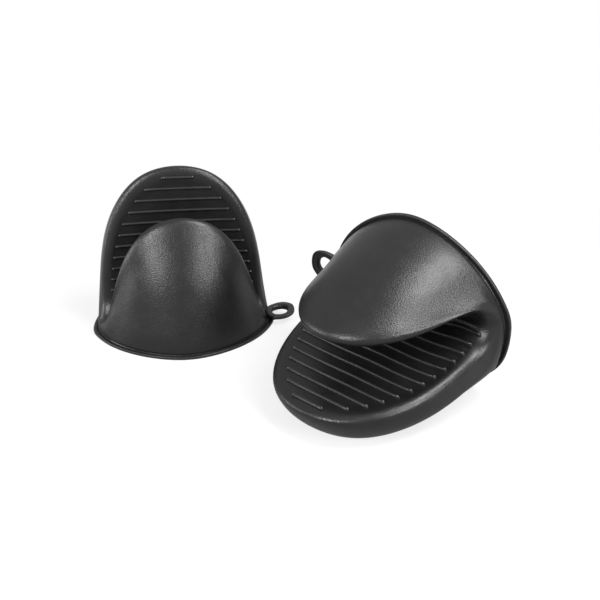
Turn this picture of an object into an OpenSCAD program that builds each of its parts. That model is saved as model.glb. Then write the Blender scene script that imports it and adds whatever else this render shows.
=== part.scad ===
// Pair of silicone pinch mitts: two equal mouldings, one standing on its cuff, one lying on its back.
// Each mitt is drawn with its cuff on z = 0, its pockets along +Z, the thumb on -Y and the loop on +X.

/* [Cuff] */
// Half width of the cuff opening, side to side
cuff_half_width = 56.2; // [48:0.1:62]
// Depth of the cuff from the fold to the back of the hand
cuff_finger_depth = 47.6; // [40:0.1:55]
// Depth of the cuff from the fold to the ball of the thumb
cuff_thumb_depth = 49; // [40:0.1:56]
// How far the raised rim stands out from the wall
rim_out = 2.2; // [1:0.1:4]
// Height of the raised rim along the pocket
rim_height = 1.8; // [1:0.1:4]
// Rounding of the rim's edges
rim_round = 0.5; // [0.2:0.05:0.8]

/* [Finger pocket] */
// Length from the cuff to the finger tips
finger_length = 103.2; // [95:0.1:115]
// Distance from the fold plane to the finger pocket's grip face
finger_gap = 6; // [4:0.1:9]
// Thickness of the finger tip's rounded border
finger_tip_thickness = 11.3; // [9:0.1:14]
// Depth of the dished grip face inside its border
dish_depth = 2; // [0.5:0.1:3]
// Width of the rounded border round the grip face
border_width = 8.9; // [6:0.1:12]

/* [Thumb pocket] */
// Length from the cuff to the thumb tip
thumb_length = 80.3; // [70:0.1:90]
// Distance from the fold plane to the thumb's grip face at the fold
thumb_gap = 5.2; // [4:0.1:9]
// Slope of the thumb's grip face away from the fingers
thumb_slope = 0.167; // [0:0.001:0.4]
// Thickness of the thumb tip's border
thumb_tip_thickness = 9.2; // [7:0.1:13]

/* [Fold and wall] */
// Height of the fold between the pockets above the cuff
fold_height = 8; // [6:0.1:16]
// Wall thickness of the moulding
wall = 2.2; // [1.6:0.1:3]
// Clearance where the thumb side meets the fold
flex_gap = 0.6; // [0.4:0.05:1]

/* [Grip ribs] */
// Number of bars on the finger pocket
finger_rib_count = 13; // [8:1:15]
// Number of bars on the thumb pocket
thumb_rib_count = 8; // [5:1:10]
// Distance from one bar to the next
rib_pitch = 7.1; // [5:0.1:9]
// Width of a bar
rib_width = 2; // [1.2:0.1:3]
// Height of a bar above the face
rib_height = 1.2; // [0.6:0.1:2]
// Distance from the finger tip to the first finger bar
finger_rib_inset = 7.4; // [6:0.1:14]
// Distance from the thumb tip to the first thumb bar
thumb_rib_inset = 9.3; // [7:0.1:14]
// Half length of the widest finger bars
rib_reach = 46; // [38:0.5:48]
// Half length of the widest thumb bars
thumb_rib_reach = 34; // [24:0.5:40]

/* [Hanging loop] */
// Hole in the hanging loop
loop_hole_d = 10.2; // [8:0.1:12]
// Outside of the hanging loop
loop_outer_d = 19.4; // [16:0.1:24]
// Thickness of the loop
loop_thickness = 3.2; // [2:0.1:4]
// Height of the loop's underside above the cuff
loop_height = 2.6; // [2.2:0.1:4]
// Distance of the hole's centre beyond the edge of the cuff
loop_reach = 6; // [5.8:0.1:11]
// Centre of the hole off the fold plane
loop_centre_y = -2.5; // [-4:0.1:1]

/* [Placing] */
// Standing mitt, left to right
standing_x = -71.8; // [-120:0.1:0]
// Standing mitt, front to back
standing_y = -5.5; // [-60:0.1:60]
// Turn of the standing mitt
standing_turn = 53.4; // [0:0.1:90]
// Lying mitt, left to right
lying_x = 70.3; // [20:0.1:120]
// Lying mitt, front to back
lying_y = 47.5; // [0:0.1:90]
// Tip-down slope of the lying mitt, which rests on its rim and its finger tips
lying_pitch = 13.2; // [0:0.01:30]

/* [Hidden] */
black = [0.09, 0.09, 0.095];
$fn = 64;

// Columns run round the mitt: 0 is the +X side, 6 the back of the hand, 12 the -X side, 18 the thumb.
COLS = 24;
ROWS = 14;
half = COLS / 2;

// Middle lines [distance from the fold plane, height], from the cuff over the tip and down to the fold
finger_face = 1.2 * finger_gap;
finger_back = finger_face + finger_tip_thickness;
finger_mid = [[cuff_finger_depth, 0], [0.941 * cuff_finger_depth, 0.14 * finger_length],
    [0.79 * cuff_finger_depth, 0.42 * finger_length], [0.59 * cuff_finger_depth, 0.76 * finger_length],
    [finger_back + 0.26 * cuff_finger_depth, 0.945 * finger_length],
    [finger_face + 0.146 * border_width, 1.012 * finger_length],
    [finger_face + 0.18 * border_width, 1.012 * finger_length],
    [finger_face, finger_length - 0.45 * border_width],
    [finger_face + 0.6 * dish_depth, finger_length - border_width],
    [1.15 * finger_gap + dish_depth, 0.8 * finger_length],
    [1.085 * finger_gap + dish_depth, 0.45 * finger_length], [finger_gap, 2.125 * fold_height],
    [0.72 * finger_gap, 1.0625 * fold_height], [0, fold_height]];
function thumb_face(z) = thumb_gap + thumb_slope * (z - fold_height);
thumb_tip = thumb_face(thumb_length);
thumb_mid = [[cuff_thumb_depth, 0], [0.98 * cuff_thumb_depth, 0.16 * thumb_length],
    [0.808 * cuff_thumb_depth, 0.46 * thumb_length], [0.647 * cuff_thumb_depth, 0.78 * thumb_length],
    [thumb_tip + thumb_tip_thickness, 0.95 * thumb_length],
    [thumb_tip + 0.77 * thumb_tip_thickness, 1.015 * thumb_length],
    [thumb_tip + 0.16 * thumb_tip_thickness, 1.015 * thumb_length], [thumb_tip, 0.925 * thumb_length],
    [thumb_tip, 0.875 * thumb_length], [thumb_face(0.75 * thumb_length), 0.75 * thumb_length],
    [thumb_face(0.5 * thumb_length), 0.5 * thumb_length], [thumb_gap, 2.125 * fold_height],
    [0.72 * thumb_gap, 1.0625 * fold_height], [0, fold_height]];
// Side line from the cuff up over the notch and in along the fold: shares of the half width and of the fold's height
side_shares = [[1, 0], [0.991, 0.2], [0.98, 0.4], [0.967, 0.575], [0.951, 0.73], [0.929, 0.865],
    [0.9025, 0.97], [0.867, 1.03], [0.811, 1.05], [0.76, 1.05], [0.617, 1.04], [0.5285, 1],
    [0.475, 1], [0.4465, 1]];
side_line = [for (q = side_shares) [q[0] * cuff_half_width, q[1] * fold_height]];

function clamp(t, lo = 0, hi = 1) = min(max(t, lo), hi);
function mix(a, b, t) = a + (b - a) * t;
function fold_mix(j) = clamp((j - 8) / 4);
function rise(j) = clamp(j / 5);
function late(j) = clamp((j - 3) / 3);
// Powers that shape the outline of each row: across, out from the fold plane, and up
function across_power(j, rim, body) = mix(mix(rim, body, rise(j)), 2.2, fold_mix(j));
function out_power(j, rim, low, high) = mix(mix(rim, mix(low, high, late(j)), rise(j)), 3, fold_mix(j));
function spow(v, e) = sign(v) * pow(abs(v), e);
// Width of each row against the side line: the fingers widen a little, the thumb flares towards the cuff
finger_waist = [1, 1.0085, 1.017, 1.0255, 1.034];
thumb_waist = [1, 0.917, 0.88, 0.846, 0.855, 0.865];
function waist(j, w, s) = 1 + (w[min(j, len(w) - 1)] - 1) * (1 - fold_mix(j)) * pow(clamp(s / 0.5), 0.75);

// Beside the side seam a pocket rises by the share ease and stands out by the share spread, which rounds the notch
function lobe_point(c, s, j, mid, side, ax, ay, az, w, dir, ease, spread) = let (near = j > 0 && s > 0 && s < 0.3) [
    side[0] * spow(c, 2 / ax) * waist(j, w, s),
    dir * mid[0] * pow(s, 2 / ay) * (near && j < 9 ? spread : 1),
    side[1] + (mid[1] - side[1]) * pow(s, 2 / az) * (near ? ease : 1)];
function net_point(k, j, fm, tm, sl) = let (c = cos(360 * k / COLS), s = sin(360 * k / COLS))
    s >= 0
    ? lobe_point(c, s, j, fm[j], sl[j], across_power(j, 2.65, 2.34), out_power(j, 2.65, 5.95, 5.1),
        j > 0 ? 2.34 : 2, finger_waist, 1, 0.905, 1)
    : lobe_point(c, -s, j, tm[j], sl[j], across_power(j, 1.714, 2.2), out_power(j, 1.714, 3.75, 9.2),
        j > 0 ? 2.2 : 2, thumb_waist, -1, 0.643, 1.155);
function side_point(k, j, fm, tm, sl) = 1.5 * [k == 0 ? sl[j][0] : -sl[j][0], 0, sl[j][1]]
    - 0.25 * (net_point((k + COLS - 1) % COLS, j, fm, tm, sl) + net_point(k + 1, j, fm, tm, sl));
function beyond(a, b) = [for (k = [0:COLS - 1]) 2 * a[k] - b[k]];
// Control net, with one extra row added at each end so that the skin meets its first and last rows
function net(fm, tm, sl) = let (n = [for (j = [0:ROWS - 1]) [for (k = [0:COLS - 1])
        k % half == 0 ? side_point(k, j, fm, tm, sl) : net_point(k, j, fm, tm, sl)]])
    concat([beyond(n[0], n[1])], n, [beyond(n[ROWS - 1], n[ROWS - 2])]);

// A line moved inward by w, with mitred corners; steps under 1 mm take their neighbours' direction
function step(tab, i) = let (t = tab[i + 1] - tab[i]) [t[1], -t[0]] / norm(t);
function short(tab, i) = i > 0 && i < len(tab) - 2 && norm(tab[i + 1] - tab[i]) < 1;
function before(tab, i) = short(tab, i) ? before(tab, i - 1) : step(tab, i);
function after(tab, i) = short(tab, i) ? after(tab, i + 1) : step(tab, i);
function inset(tab, w) = [for (j = [0:len(tab) - 1]) j == 0 ? tab[0] - [w, 0]
    : j == len(tab) - 1 ? tab[j] - [0, w]
    : let (m = before(tab, j - 1), n = after(tab, j)) tab[j] - w * (m + n) / (1 + m * n)];
OUTER_NET = net(finger_mid, thumb_mid, side_line);
INNER_NET = net(inset(finger_mid, wall), inset(thumb_mid, wall), inset(side_line, wall));

function weights(t) = [pow(1 - t, 3), 3 * pow(t, 3) - 6 * t * t + 4,
    -3 * pow(t, 3) + 3 * t * t + 3 * t + 1, pow(t, 3)] / 6;
// A point on the moulding at column s and row v
function patch(net, s, v) = let (ks = floor(s), kv = min(floor(v), ROWS - 2),
    ws = weights(s - ks), wv = weights(v - kv))
    wv * [for (j = [0:3]) ws * [for (i = [0:3]) net[kv + j][(ks - 1 + i + 2 * COLS) % COLS]]];
function skin(s, v) = patch(OUTER_NET, s, v);
function lining(s, v) = patch(INNER_NET, s, v);
function unit(a) = a / norm(a);
// Level direction out of the cuff's edge
function outward(s) = let (t = skin(s + 0.03, 0) - skin(s - 0.03, 0)) unit([t[1], -t[0], 0]);

fold_row = 11;
// Columns from the side seam to each pocket's edge
web_edge = 0.55;
rows = [0, 1, 2, 2.8, 3.48, 4, 4.4, 4.8, 5.2, 5.6, 6, 6.5, 7.1, 7.8, 8.8, 9.9, fold_row];
finger_cols = concat([web_edge], [for (i = [0:22]) 1 + i * 10 / 22], [half - web_edge]);
thumb_steps = 20;
function thumb_start(v) = half + web_edge
    + flex_gap * 0.1 / norm(skin(half + web_edge + 0.1, v) - skin(half + web_edge, v));
function thumb_col(i, v) = let (a = thumb_start(v)) a + (3 * COLS / 2 - 2 * a) * i / thumb_steps;
function thumb_row(j, s) = rows[j] < fold_row ? rows[j]
    : fold_row - flex_gap * 0.2 / norm(skin(s, fold_row) - skin(s, fold_row - 0.2));

// Closed wall between an outer and an inner grid of points
module shell(outer, inner) {
    n = len(outer);
    m = len(outer[0]);
    o = n * m;
    function id(i, j) = i * m + j;
    polyhedron(points = concat([for (r = outer) each r], [for (r = inner) each r]),
        faces = concat(
            [for (i = [0:n - 2], j = [0:m - 2]) each [[id(i, j), id(i + 1, j + 1), id(i + 1, j)],
                [id(i, j), id(i, j + 1), id(i + 1, j + 1)]]],
            [for (i = [0:n - 2], j = [0:m - 2]) each [[o + id(i, j), o + id(i + 1, j), o + id(i + 1, j + 1)],
                [o + id(i, j), o + id(i + 1, j + 1), o + id(i, j + 1)]]],
            [for (j = [0:m - 2]) each [[id(0, j), o + id(0, j + 1), id(0, j + 1)],
                [id(0, j), o + id(0, j), o + id(0, j + 1)]]],
            [for (j = [0:m - 2]) each [[id(n - 1, j), id(n - 1, j + 1), o + id(n - 1, j + 1)],
                [id(n - 1, j), o + id(n - 1, j + 1), o + id(n - 1, j)]]],
            [for (i = [0:n - 2]) each [[id(i, 0), id(i + 1, 0), o + id(i + 1, 0)],
                [id(i, 0), o + id(i + 1, 0), o + id(i, 0)]]],
            [for (i = [0:n - 2]) each [[id(i, m - 1), o + id(i + 1, m - 1), id(i + 1, m - 1)],
                [id(i, m - 1), o + id(i, m - 1), o + id(i + 1, m - 1)]]]));
}

module finger_pocket() {
    color(black)
        shell([for (s = finger_cols) [for (v = rows) skin(s, v)]],
            [for (s = finger_cols) [for (v = rows) lining(s, v)]]);
}

module thumb_pocket() {
    grid = [for (i = [0:thumb_steps]) [for (j = [0:len(rows) - 1])
        let (s = thumb_col(i, rows[j])) [s, thumb_row(j, s)]]];
    color(black)
        shell([for (r = grid) [for (q = r) skin(q[0], q[1])]],
            [for (r = grid) [for (q = r) lining(q[0], q[1])]]);
}

// The fold: two side bands joined by the valley strip, as one frame-shaped wall
web_half = concat([0, web_edge / 2], finger_cols, [half - web_edge / 2]);
web_cols = concat(web_half, [half], [for (i = [len(web_half) - 1:-1:1]) COLS - web_half[i]]);
web_rows = concat(rows, [12, 13]);
module fold_web() {
    n = len(web_cols);
    m = len(web_rows);
    h = n / 2;
    o = n * m;
    k = len(rows) - 1;
    function id(i, j) = let (c = i % n) (j == m - 1 ? min(c, (n - c) % n) : c) * m + j;
    function side(i) = i < 2 || i >= n - 2 || (i >= h - 2 && i < h + 2);
    function solid(i, j) = j >= k || side(i % n);
    cells = [for (i = [0:n - 1], j = [0:m - 2]) if (solid(i, j)) [i, j]];
    // The two cells at the ends of the fold line take the other diagonal
    function cell(i, j, t) = let (a = t + id(i, j), b = t + id(i, j + 1), c = t + id(i + 1, j + 1),
        d = t + id(i + 1, j)) j == m - 2 && i % h == 0 ? [[a, b, d], [b, c, d]] : [[a, c, d], [a, b, c]];
    edges = concat(
        [for (i = [0:n - 1]) let (j = side(i) ? 0 : k) [id(i, j), id(i + 1, j)]],
        [for (i = [2, h + 2], j = [0:k - 1]) [id(i, j), id(i, j + 1)]],
        [for (i = [h - 2, n - 2], j = [0:k - 1]) [id(i, j + 1), id(i, j)]]);
    color(black)
        polyhedron(points = concat([for (s = web_cols) each [for (v = web_rows) skin(s, v)]],
                [for (s = web_cols) each [for (v = web_rows) lining(s, v)]]),
            faces = concat(
                [for (c = cells) each cell(c[0], c[1], 0)],
                [for (c = cells) each [for (f = cell(c[0], c[1], o)) [f[0], f[2], f[1]]]],
                [for (e = edges) let (p = e[0], q = e[1]) each (p < q
                    ? [[p, q, o + q], [p, o + q, o + p]] : [[p, q, o + p], [q, o + q, o + p]])]));
}

// Raised rim swept round the cuff from column a to column b, its inner face sunk into the wall
rim_sink = 0.3 * wall;
rim_profile = [[-rim_sink, 0], [rim_out - rim_round, 0], [rim_out, rim_round],
    [rim_out, rim_height - rim_round], [rim_out - rim_round, rim_height], [-rim_sink, rim_height]];
module rim(a, b, steps) {
    m = len(rim_profile);
    pts = [for (i = [0:steps]) let (s = a + (b - a) * i / steps, p = skin(s, 0), f = outward(s))
        each [for (q = rim_profile) [p[0] + f[0] * q[0], p[1] + f[1] * q[0], q[1]]]];
    color(black)
        polyhedron(points = pts, faces = concat([[for (q = [m - 1:-1:0]) q]],
            [[for (q = [0:m - 1]) steps * m + q]],
            [for (i = [0:steps - 1], q = [0:m - 1]) let (t = (q + 1) % m) each [
                [i * m + q, (i + 1) * m + t, (i + 1) * m + q], [i * m + q, i * m + t, (i + 1) * m + t]]]));
}

// Where the grip face has the stated x and z: a few correction steps from a first guess
function face_guess(x, z, sgn) = let (u = asin(clamp(x / cuff_half_width * (sgn > 0 ? 0.98 : 1.1), -1, 1)) / 15)
    [sgn > 0 ? 6 - u : 18 + u, 9.6 - (z / finger_length - 0.58) / 0.27];
function seek(q, x, z, left) = left == 0 ? q : let (p = skin(q[0], q[1]),
    a = (skin(q[0] + 0.05, q[1]) - p) / 0.05, b = (skin(q[0], q[1] + 0.05) - p) / 0.05,
    ex = x - p[0], ez = z - p[2], det = a[0] * b[2] - b[0] * a[2])
    seek([q[0] + clamp((ex * b[2] - ez * b[0]) / det, -0.8, 0.8),
        clamp(q[1] + clamp((a[0] * ez - a[2] * ex) / det, -0.8, 0.8), 7.2, 12.6)], x, z, left - 1);
function face_y(x, z, sgn) = let (q = seek(face_guess(x, z, sgn), x, z, 7)) skin(q[0], q[1])[1];

// One bar with rounded ends, following the face
rib_sink = 0.25 * rib_width;
rib_stations = [-1, -0.985, -0.6, 0, 0.6, 0.985, 1];
module bar(reach, z, sgn) {
    w = rib_width / 2;
    m = 5;
    pts = [for (t = rib_stations) let (x = t * (reach - w) + sign(t) * (abs(t) == 1 ? w : 0),
        k = abs(t) == 1 ? 0.35 : 1, y = face_y(t * (reach - w), z, sgn), h = rib_height * (abs(t) == 1 ? 0.5 : 1))
        each [[x, y + sgn * rib_sink, z - w * k], [x, y - sgn * h * 0.5, z - w * k],
            [x, y - sgn * h, z], [x, y - sgn * h * 0.5, z + w * k], [x, y + sgn * rib_sink, z + w * k]]];
    n = len(rib_stations);
    function turn(f) = sgn > 0 ? f : [for (i = [len(f) - 1:-1:0]) f[i]];
    polyhedron(points = pts, faces = concat([turn([for (q = [m - 1:-1:0]) q])],
        [turn([for (q = [0:m - 1]) (n - 1) * m + q])],
        [for (i = [0:n - 2], q = [0:m - 1]) let (t = (q + 1) % m) each [
            turn([i * m + q, (i + 1) * m + t, (i + 1) * m + q]), turn([i * m + q, i * m + t, (i + 1) * m + t])]]));
}
finger_rib_top = finger_length - finger_rib_inset;
widest_finger_bar = 0.162 * finger_length;
finger_bar_flare = 3.6;
function finger_reach(z) = let (u = clamp((z - widest_finger_bar) / (finger_rib_top + 2.3 - widest_finger_bar)))
    rib_reach * pow(1 - pow(u, 1.936), 1 / 1.936) + finger_bar_flare * clamp(1 - z / widest_finger_bar);
module finger_ribs() {
    color(black)
        for (i = [0:finger_rib_count - 1])
            let (z = finger_rib_top - i * rib_pitch) bar(finger_reach(z), z, 1);
}
thumb_rib_top = thumb_length - thumb_rib_inset;
widest_thumb_bar = 0.274 * thumb_length;
function thumb_reach(z) = let (u = clamp((z - widest_thumb_bar) / (thumb_rib_top + 3.5 - widest_thumb_bar)))
    thumb_rib_reach * pow(1 - pow(u, 2.1), 1 / 2.1);
module thumb_ribs() {
    color(black)
        for (i = [0:thumb_rib_count - 1])
            let (z = thumb_rib_top - i * rib_pitch) bar(thumb_reach(z), z, -1);
}

// Each length of rim stops a little short of the edge of its own wall
rim_trim = 0.03;
module finger_cuff_rim() {
    rim(web_edge + rim_trim, half - web_edge - rim_trim, 26);
}
module thumb_cuff_rim() {
    a = thumb_start(0) + 6 * rim_trim;
    rim(a, 3 * COLS / 2 - a, 24);
}
module web_cuff_rim() {
    rim(-web_edge + rim_trim, web_edge - rim_trim, 3);
    rim(half - web_edge + rim_trim, half + web_edge - rim_trim, 3);
}

// Flat ring with a straight root that meets the wall beside the fold, relieved beside the thumb's rim
loop_centre_x = cuff_half_width + loop_reach;
loop_root_x = cuff_half_width - 0.5;
loop_root_width = 0.55 * loop_outer_d;
loop_relief_x = cuff_half_width + rim_out + 0.5;
loop_relief_y = -6.6;
module hanging_loop() {
    color(black)
        difference() {
            union() {
                translate([loop_centre_x, loop_centre_y, loop_height])
                    cylinder(d = loop_outer_d, h = loop_thickness);
                translate([loop_root_x, loop_centre_y - loop_root_width / 2, loop_height])
                    cube([loop_centre_x - loop_root_x - loop_hole_d / 2 - 0.4, loop_root_width, loop_thickness]);
            }
            translate([loop_centre_x, loop_centre_y, loop_height - 1])
                cylinder(d = loop_hole_d, h = loop_thickness + 2);
            translate([loop_root_x - loop_outer_d, loop_centre_y - loop_outer_d, loop_height - 1])
                cube([loop_outer_d, 2 * loop_outer_d, loop_thickness + 2]);
            translate([loop_root_x - 1, loop_relief_y - loop_outer_d, loop_height - 1])
                cube([loop_relief_x - loop_root_x + 1, loop_outer_d, loop_thickness + 2]);
        }
}

lying_height = (skin(6, 0)[1] + rim_out) * cos(lying_pitch) + (rim_height - rim_round) * sin(lying_pitch);
module stand() {
    translate([standing_x, standing_y, 0])
        rotate([0, 0, standing_turn])
            children();
}
module lie() {
    translate([lying_x, lying_y, lying_height])
        rotate([-90 - lying_pitch, 0, 180])
            children();
}

module standing_finger_pocket() stand() finger_pocket();
module standing_thumb_pocket() stand() thumb_pocket();
module standing_fold_web() stand() fold_web();
module standing_finger_ribs() stand() finger_ribs();
module standing_thumb_ribs() stand() thumb_ribs();
module standing_finger_cuff_rim() stand() finger_cuff_rim();
module standing_thumb_cuff_rim() stand() thumb_cuff_rim();
module standing_web_cuff_rim() stand() web_cuff_rim();
module standing_hanging_loop() stand() hanging_loop();
module lying_finger_pocket() lie() finger_pocket();
module lying_thumb_pocket() lie() thumb_pocket();
module lying_fold_web() lie() fold_web();
module lying_finger_ribs() lie() finger_ribs();
module lying_thumb_ribs() lie() thumb_ribs();
module lying_finger_cuff_rim() lie() finger_cuff_rim();
module lying_thumb_cuff_rim() lie() thumb_cuff_rim();
module lying_web_cuff_rim() lie() web_cuff_rim();
module lying_hanging_loop() lie() hanging_loop();

standing_finger_pocket();
standing_thumb_pocket();
standing_fold_web();
standing_finger_ribs();
standing_thumb_ribs();
standing_finger_cuff_rim();
standing_thumb_cuff_rim();
standing_web_cuff_rim();
standing_hanging_loop();
lying_finger_pocket();
lying_thumb_pocket();
lying_fold_web();
lying_finger_ribs();
lying_thumb_ribs();
lying_finger_cuff_rim();
lying_thumb_cuff_rim();
lying_web_cuff_rim();
lying_hanging_loop();
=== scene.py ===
"""Looks of a pair of silicone pinch mitts, one standing on its cuff and one lying on its back."""

import logging
import math
from dataclasses import dataclass, field
from enum import Enum
from typing import Callable

import bpy
import numpy as np
from mathutils import Matrix, Vector


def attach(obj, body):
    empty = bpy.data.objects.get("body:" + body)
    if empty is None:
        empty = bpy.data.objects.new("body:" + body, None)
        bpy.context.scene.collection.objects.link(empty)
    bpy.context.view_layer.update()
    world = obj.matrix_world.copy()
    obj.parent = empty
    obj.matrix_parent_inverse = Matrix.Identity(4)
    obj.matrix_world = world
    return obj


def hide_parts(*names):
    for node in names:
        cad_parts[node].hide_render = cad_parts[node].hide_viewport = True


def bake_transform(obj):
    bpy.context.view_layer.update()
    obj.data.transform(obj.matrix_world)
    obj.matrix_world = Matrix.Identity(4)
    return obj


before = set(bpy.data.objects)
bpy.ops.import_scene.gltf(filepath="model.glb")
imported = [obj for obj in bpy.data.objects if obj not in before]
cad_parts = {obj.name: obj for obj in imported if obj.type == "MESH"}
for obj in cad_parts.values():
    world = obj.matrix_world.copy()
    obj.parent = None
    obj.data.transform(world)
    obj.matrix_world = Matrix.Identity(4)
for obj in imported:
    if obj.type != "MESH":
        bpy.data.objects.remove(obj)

LOG = logging.getLogger("pinch_mitts")
MM = 0.001
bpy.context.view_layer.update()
Points = np.ndarray
Socket = bpy.types.NodeSocket
PANEL_ATTRIBUTE = "panel"


class Mitt(Enum):
    """The two mouldings, by the first word of their nodes."""

    STANDING = "standing"
    LYING = "lying"


def smooth(value: Points, low: float, high: float) -> Points:
    """Reads a soft step.

    Args:
        value: Where to read the step.
        low: Where the step starts to rise from 0.
        high: Where it reaches 1.

    Returns:
        The height of the step, 0 to 1.
    """
    share = np.clip((value - low) / (high - low), 0, 1)
    return share * share * (3 - 2 * share)


@dataclass(frozen=True)
class Easing:
    """How the soft form eases away from its plain sheet. Places are in the mitt's own mm.

    Two numbers are the places between which something sets in or dies out. For the height of the notch,
    the crown or the saddle they are its middle and how far up and down it reaches. Near and away are
    distances from the fold plane, across and ends are distances from the mitt's middle.

    Attributes:
        notch_opening: How far each side of the notch's ends stands back.
        saddle_rise: How far the bottom of the notch's ends is raised.
        thumb_crown: How far the thumb's back stands out at its middle.
        far_sag: How far the finger face drops at the side away from the loop.
        sag_loss: Share of the sag that is lost towards the tip.
    """

    notch_opening: float = 3.2
    saddle_rise: float = 1.3
    thumb_crown: float = 2.2
    far_sag: float = 0.0
    cuff_kept: tuple[float, float] = (3.0, 9.0)
    notch_ends: tuple[float, float] = (34.0, 50.0)
    notch_near: tuple[float, float] = (0.0, 8.0)
    notch_away: tuple[float, float] = (12.0, 27.0)
    notch_height: tuple[float, float] = (14.0, 15.0)
    sag_across: tuple[float, float] = (0.0, 48.0)
    sag_up: tuple[float, float] = (25.0, 100.0)
    sag_loss: float = 0.6
    sag_near: tuple[float, float] = (-3.0, 9.0)
    sag_away: tuple[float, float] = (11.0, 32.0)
    crown_height: tuple[float, float] = (42.0, 19.0)
    crown_back: tuple[float, float] = (18.0, 32.0)
    crown_half_width: float = 46.0
    saddle_ends: tuple[float, float] = (34.0, 47.0)
    saddle_height: tuple[float, float] = (9.0, 7.0)
    saddle_width: float = 6.0

    def settle(self, points: Points) -> Points:
        """Opens the ends of the notch, rounds the thumb's back and lets the far side sag.

        Args:
            points: Mitt points in mm.

        Returns:
            The eased points in mm.
        """
        x, y, z = points[..., 0], points[..., 1], points[..., 2]
        above = smooth(z, *self.cuff_kept)
        beside = smooth(np.abs(y), *self.notch_near) * (1 - smooth(np.abs(y), *self.notch_away))
        middle, spread = self.notch_height
        opening = self.notch_opening * smooth(np.abs(x), *self.notch_ends)
        opening = opening * np.exp(-((z - middle) / spread) ** 2)
        sag = self.far_sag * smooth(-x, *self.sag_across) * (1 - self.sag_loss * smooth(z, *self.sag_up))
        sag = sag * smooth(y, *self.sag_near) * (1 - smooth(y, *self.sag_away))
        middle, spread = self.crown_height
        crown = self.thumb_crown * np.exp(-((z - middle) / spread) ** 2) * smooth(-y, *self.crown_back)
        crown = crown * np.clip(1 - (x / self.crown_half_width) ** 2, 0, 1)
        middle, spread = self.saddle_height
        from_saddle = (y / self.saddle_width) ** 2 + ((z - middle) / spread) ** 2
        saddle = self.saddle_rise * smooth(np.abs(x), *self.saddle_ends) * np.exp(-from_saddle)
        eased = np.array(points, float)
        eased[..., 1] += above * (np.sign(y) * beside * opening + sag - crown)
        eased[..., 2] += above * saddle
        return eased


@dataclass(frozen=True)
class Placement:
    """Where a mitt lies: a turn about its side-to-side line, a turn about the vertical, then a move.

    Attributes:
        tilt: Turn about X in degrees.
        turn: Turn about Z in degrees.
        move: Final place of the cuff's centre in mm.
        easing: How the soft form eases as it lies there.
    """

    tilt: float
    turn: float
    move: tuple[float, float, float]
    easing: Easing = Easing()

    def matrix(self) -> Points:
        """Works out both turns as one.

        Returns:
            The turn matrix of the placement.
        """
        a, b = math.radians(self.tilt), math.radians(self.turn)
        about_x = np.array([[1, 0, 0], [0, math.cos(a), -math.sin(a)], [0, math.sin(a), math.cos(a)]])
        about_z = np.array([[math.cos(b), -math.sin(b), 0], [math.sin(b), math.cos(b), 0], [0, 0, 1]])
        return about_z @ about_x

    def put(self, points: Points) -> Points:
        """Eases mitt points and carries them to the shared frame, in metres."""
        return (self.easing.settle(points) @ self.matrix().T + np.array(self.move)) * MM

    def spot(self, x: float, y: float, z: float) -> tuple[float, float, float]:
        """One mitt point as it is, in metres in the shared frame."""
        place = self.matrix() @ np.array([x, y, z], float) + np.array(self.move)
        return tuple(float(c) * MM for c in place)


@dataclass(frozen=True)
class PocketPlan:
    """How the plan of one pocket changes from the cuff to its tip and in to the fold.

    Attributes:
        way: 1 on the fingers' side of the fold plane, -1 on the thumb's.
        rim_power: Roundness of the plan at the cuff, 2 being an ellipse.
        side_power: Roundness of the sides above the cuff.
        low_power: Roundness of the back above the cuff.
        high_power: Roundness of the back near the tip.
        waist: Width of each row from the cuff up, as a share of the sides' line.
        seam_rise: Share of its rise that the column beside the sides' line keeps.
        seam_spread: Share of its distance from the fold plane that the same column keeps.
        fold_side_power: Roundness of the sides in the fold.
        fold_back_power: Roundness of the back in the fold.
    """

    way: int
    rim_power: float
    side_power: float
    low_power: float
    high_power: float
    waist: tuple[float, ...]
    seam_rise: float
    seam_spread: float
    fold_side_power: float = 2.2
    fold_back_power: float = 3.0

    def powers(self, rise: float, late: float, fold: float) -> tuple[float, float]:
        """Works out the roundness of one row.

        Args:
            rise: How far the row is above the cuff, 0 to 1.
            late: How far it is towards the tip, 0 to 1.
            fold: How far it is into the fold, 0 to 1.

        Returns:
            The roundness of the sides and of the back.
        """
        side = self.rim_power + (self.side_power - self.rim_power) * rise
        side += (self.fold_side_power - side) * fold
        back = self.low_power + (self.high_power - self.low_power) * late
        back = self.rim_power + (back - self.rim_power) * rise
        back += (self.fold_back_power - back) * fold
        return side, back


FINGER_PLAN = PocketPlan(1, 2.65, 2.34, 5.95, 5.1, (1, 1.0085, 1.017, 1.0255, 1.034), 0.905, 1.0)
THUMB_PLAN = PocketPlan(-1, 1.714, 2.2, 3.75, 9.2, (1, 0.917, 0.88, 0.846, 0.855, 0.865), 0.643, 1.155)


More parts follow.
